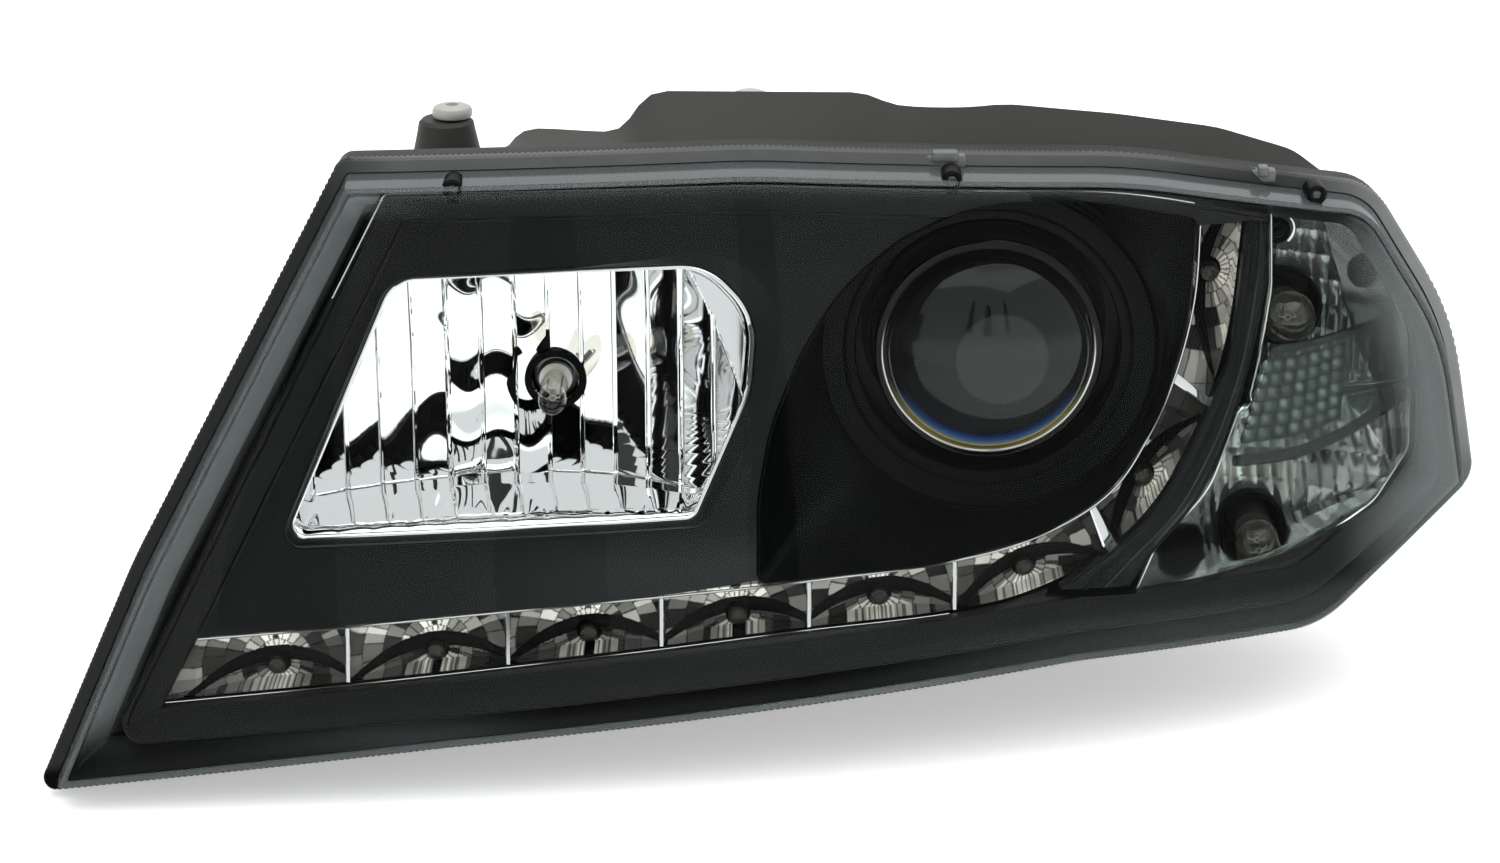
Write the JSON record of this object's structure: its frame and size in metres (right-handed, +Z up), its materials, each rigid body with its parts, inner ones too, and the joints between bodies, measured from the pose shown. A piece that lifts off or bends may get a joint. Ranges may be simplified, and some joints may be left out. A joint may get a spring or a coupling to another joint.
{
  "type": "car headlight assembly",
  "caption": "Left-hand car headlight: clear front lens, bezel, projector low beam, reflector main beam, light strip and corner lamps in a deep rear housing.",
  "frame": {"origin": "a point on the flat pad of the inner rear mounting tab, 9 mm in front of its bolt hole", "axes": "+X along the lamp from the grille end to the wing end, +Y from the front lens back into the engine bay, +Z up"},
  "size_m": [0.4833, 0.2197, 0.2068],
  "materials": {
    "smoked_clear": "clear polycarbonate, slightly smoked, hard coated",
    "black_plastic": "satin black moulding",
    "gloss_black": "high-gloss black",
    "housing_plastic": "talc-filled polypropylene, matt dark grey",
    "chrome": "vacuum-metallised mirror",
    "optic_glass": "moulded optical glass",
    "bulb_glass": "clear quartz",
    "steel": "plated",
    "aluminium": "bright inside",
    "grey_nylon": "light grey nylon",
    "white_nylon": "natural nylon",
    "rubber": "soft black",
    "cast_alloy": "die cast",
    "circuit_board": "solder mask"
  },
  "bodies": {
    "root": {"arc_bar": "smoked_clear", "bezel": "black_plastic", "bezel_screw_1": "steel", "bezel_screw_2": "steel", "bezel_screw_3": "steel", "breather": "rubber", "corner_wing": "smoked_clear", "front_lens": "smoked_clear", "high_beam_trim": "chrome", "housing": "housing_plastic", "led_board": "circuit_board", "led_driver": "cast_alloy", "led_reflector": "chrome", "lens_bead": "rubber", "levelling_motor": "black_plastic", "main_connector": "black_plastic", "pivot_ball": "steel", "position_reflector": "chrome", "projector_dish": "gloss_black", "tab_sleeve_1": "steel", "tab_sleeve_2": "steel", "tab_sleeve_3": "steel", "turn_reflector": "chrome"},
    "aim": {"aim_frame": "black_plastic", "high_beam_reflector": "chrome", "high_beam_bulb": "bulb_glass", "high_beam_bulb_base": "steel", "projector_lens": "optic_glass", "projector_ring": "chrome", "projector_holder": "cast_alloy", "cutoff_shield": "steel", "projector_reflector": "aluminium", "low_beam_bulb": "bulb_glass", "low_beam_bulb_base": "steel", "adjuster_socket": "white_nylon", "level_socket": "white_nylon"},
    "bush": {"pivot_bush": "white_nylon"},
    "side_nut": {"adjuster_nut": "white_nylon"},
    "side_screw": {"adjuster_screw": "steel"},
    "side_shaft": {"adjuster_shaft": "grey_nylon"},
    "level_rod": {"levelling_spindle": "white_nylon"},
    "level_wheel": {"levelling_wheel": "grey_nylon"},
    "low_clip": {"low_beam_clip": "steel"},
    "high_clip": {"high_beam_clip": "steel"},
    "low_plug": {"low_beam_plug": "black_plastic"},
    "high_plug": {"high_beam_plug": "black_plastic"},
    "low_seal": {"low_beam_cover_seal": "rubber"},
    "low_cap": {"low_beam_cover": "rubber"},
    "high_seal": {"high_beam_cover_seal": "rubber"},
    "high_cap": {"high_beam_cover": "rubber"},
    "turn_seal": {"turn_holder_seal": "rubber"},
    "turn_lamp": {"turn_holder": "black_plastic", "turn_bulb": "bulb_glass"},
    "position_seal": {"position_holder_seal": "rubber"},
    "position_lamp": {"position_holder": "black_plastic", "position_bulb": "bulb_glass"}
  },
  "joints": [
    {"name": "aim_swing", "type": "hinge", "parent": "root", "child": "bush", "pos_m": [0.054, -0.036, -0.112], "axis": [0, 0, 1], "range_deg": [-1.5, 1.5]},
    {"name": "aim_tilt", "type": "hinge", "parent": "bush", "child": "aim", "pos_m": [0.054, -0.036, -0.112], "axis": [1, 0, 0], "range_deg": [-2, 2.5]},
    {"name": "level_rod_slide", "type": "slide", "parent": "root", "child": "level_rod", "axis": [0, 1, 0], "range_m": [-0.00455, 0.00365]},
    {"name": "level_wheel_spin", "type": "hinge", "parent": "root", "child": "level_wheel", "pos_m": [0.054, -0.028, 0.022], "axis": [0, 0, 1], "range_deg": [-328, 410]},
    {"name": "side_nut_slide", "type": "slide", "parent": "root", "child": "side_nut", "axis": [0, 1, 0], "range_m": [-0.00273, 0.00273]},
    {"name": "side_screw_spin", "type": "hinge", "parent": "root", "child": "side_screw", "pos_m": [-0.05, -0.036, -0.112], "axis": [0, 1, 0], "range_deg": [-246, 246]},
    {"name": "side_shaft_spin", "type": "hinge", "parent": "root", "child": "side_shaft", "pos_m": [-0.05, 0, -0.058], "axis": [0, 0, 1], "range_deg": [-342, 342]},
    {"name": "low_clip_swing", "type": "hinge", "parent": "aim", "child": "low_clip", "pos_m": [0.117, 0.0008, -0.047], "axis": [0, 0, 1], "range_deg": [0, 70]},
    {"name": "high_clip_swing", "type": "hinge", "parent": "aim", "child": "high_clip", "pos_m": [-0.0265, -0.0548, -0.061], "axis": [0, 0, 1], "range_deg": [0, 40]},
    {"name": "low_plug_pull", "type": "slide", "parent": "aim", "child": "low_plug", "axis": [0, 1, 0], "range_m": [0, 0.012]},
    {"name": "high_plug_pull", "type": "slide", "parent": "aim", "child": "high_plug", "axis": [0, 1, 0], "range_m": [0, 0.012]},
    {"name": "low_cover_pull", "type": "slide", "parent": "root", "child": "low_seal", "axis": [0, 1, 0], "range_m": [0, 0.06]},
    {"name": "low_cover_twist", "type": "hinge", "parent": "low_seal", "child": "low_cap", "pos_m": [0.134, 0.039, -0.047], "axis": [0, 1, 0], "range_deg": [-30, 0]},
    {"name": "high_cover_pull", "type": "slide", "parent": "root", "child": "high_seal", "axis": [0, 1, 0], "range_m": [0, 0.06]},
    {"name": "high_cover_twist", "type": "hinge", "parent": "high_seal", "child": "high_cap", "pos_m": [-0.008, 0.008, -0.061], "axis": [0, 1, 0], "range_deg": [-30, 0]},
    {"name": "turn_lamp_pull", "type": "slide", "parent": "root", "child": "turn_seal", "axis": [0, 1, 0], "range_m": [0, 0.08]},
    {"name": "turn_lamp_twist", "type": "hinge", "parent": "turn_seal", "child": "turn_lamp", "pos_m": [0.239, 0.017, -0.046], "axis": [0, 1, 0], "range_deg": [-45, 0]},
    {"name": "position_lamp_pull", "type": "slide", "parent": "root", "child": "position_seal", "axis": [0, 1, 0], "range_m": [0, 0.09]},
    {"name": "position_lamp_twist", "type": "hinge", "parent": "position_seal", "child": "position_lamp", "pos_m": [0.23, 0.016, -0.122], "axis": [0, 1, 0], "range_deg": [-45, 0]}
  ],
  "couplings": [
    {"joint": "level_rod_slide", "follows": "aim_tilt", "m_per_rad": -0.104},
    {"joint": "level_wheel_spin", "follows": "aim_tilt", "ratio": 163.36},
    {"joint": "side_nut_slide", "follows": "aim_swing", "m_per_rad": -0.104},
    {"joint": "side_screw_spin", "follows": "aim_swing", "ratio": 163.36},
    {"joint": "side_shaft_spin", "follows": "aim_swing", "ratio": 226.89}
  ]
}
